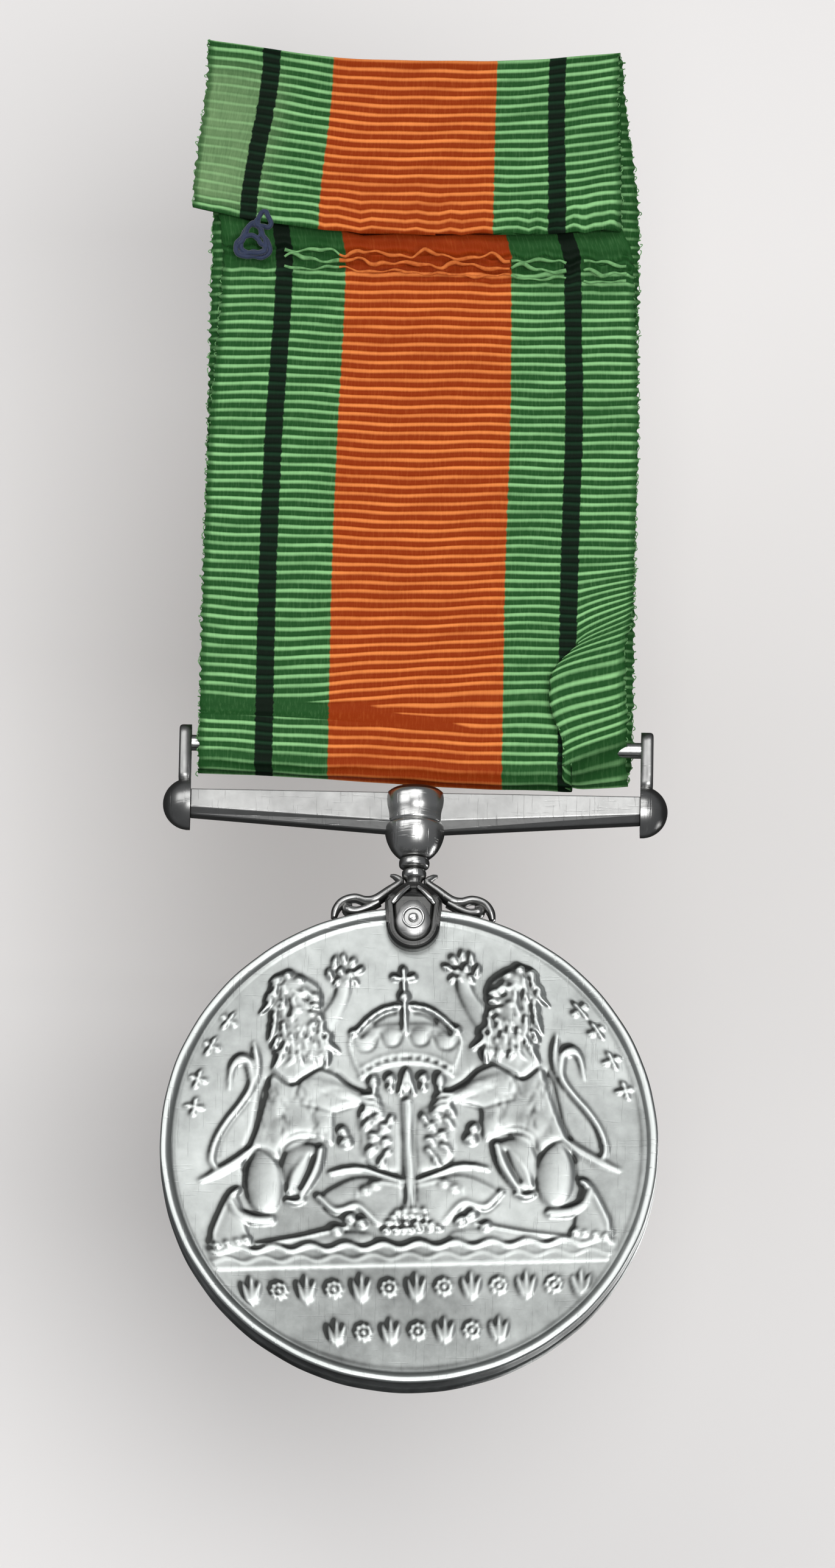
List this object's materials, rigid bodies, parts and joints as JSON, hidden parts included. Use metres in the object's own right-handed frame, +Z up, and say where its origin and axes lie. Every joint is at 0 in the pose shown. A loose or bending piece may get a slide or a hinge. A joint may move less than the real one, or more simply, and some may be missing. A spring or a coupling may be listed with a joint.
{
  "type": "service medal on a folded ribbon",
  "caption": "Round service medal with a claw, scrolls and a straight bar suspender, swinging on a folded striped ribbon.",
  "frame": {"origin": "middle of the ribbon's top fold, where the medal hangs from a brooch bar", "axes": "+Z up along the hanging ribbon, +X to the viewer's right, -Y towards the viewer, facing the side with the two lions"},
  "size_m": [0.0368, 0.0048, 0.1035],
  "materials": {
    "struck_silver": "struck cupro-nickel, satin and lightly toned",
    "worn_silver": "cast cupro-nickel, polished high spots over dark toning",
    "bright_silver": "rubbed bright",
    "ribbed_ribbon": "ribbed silk ribbon, green with an orange centre and two black stripes",
    "sewing_thread": "matte navy sewing thread"
  },
  "bodies": {
    "ribbon_drop": {"ribbon": "ribbed_ribbon", "seam_stitches": "sewing_thread", "thread_knot": "sewing_thread"},
    "medal": {"medal_disc": "struck_silver", "claw": "worn_silver", "claw_rivet": "bright_silver", "scroll_left": "worn_silver", "scroll_right": "worn_silver", "stem": "worn_silver", "stem_cap": "worn_silver", "suspender_bar": "worn_silver", "end_post_left": "worn_silver", "end_post_right": "worn_silver", "end_ball_left": "worn_silver", "end_ball_right": "worn_silver", "ribbon_rod": "bright_silver"}
  },
  "joints": [
    {"name": "suspender_swing", "type": "hinge", "parent": "ribbon_drop", "child": "medal", "pos_m": [0, 0, -0.05466], "axis": [1, 0, 0], "range_deg": [-115, 115]}
  ]
}
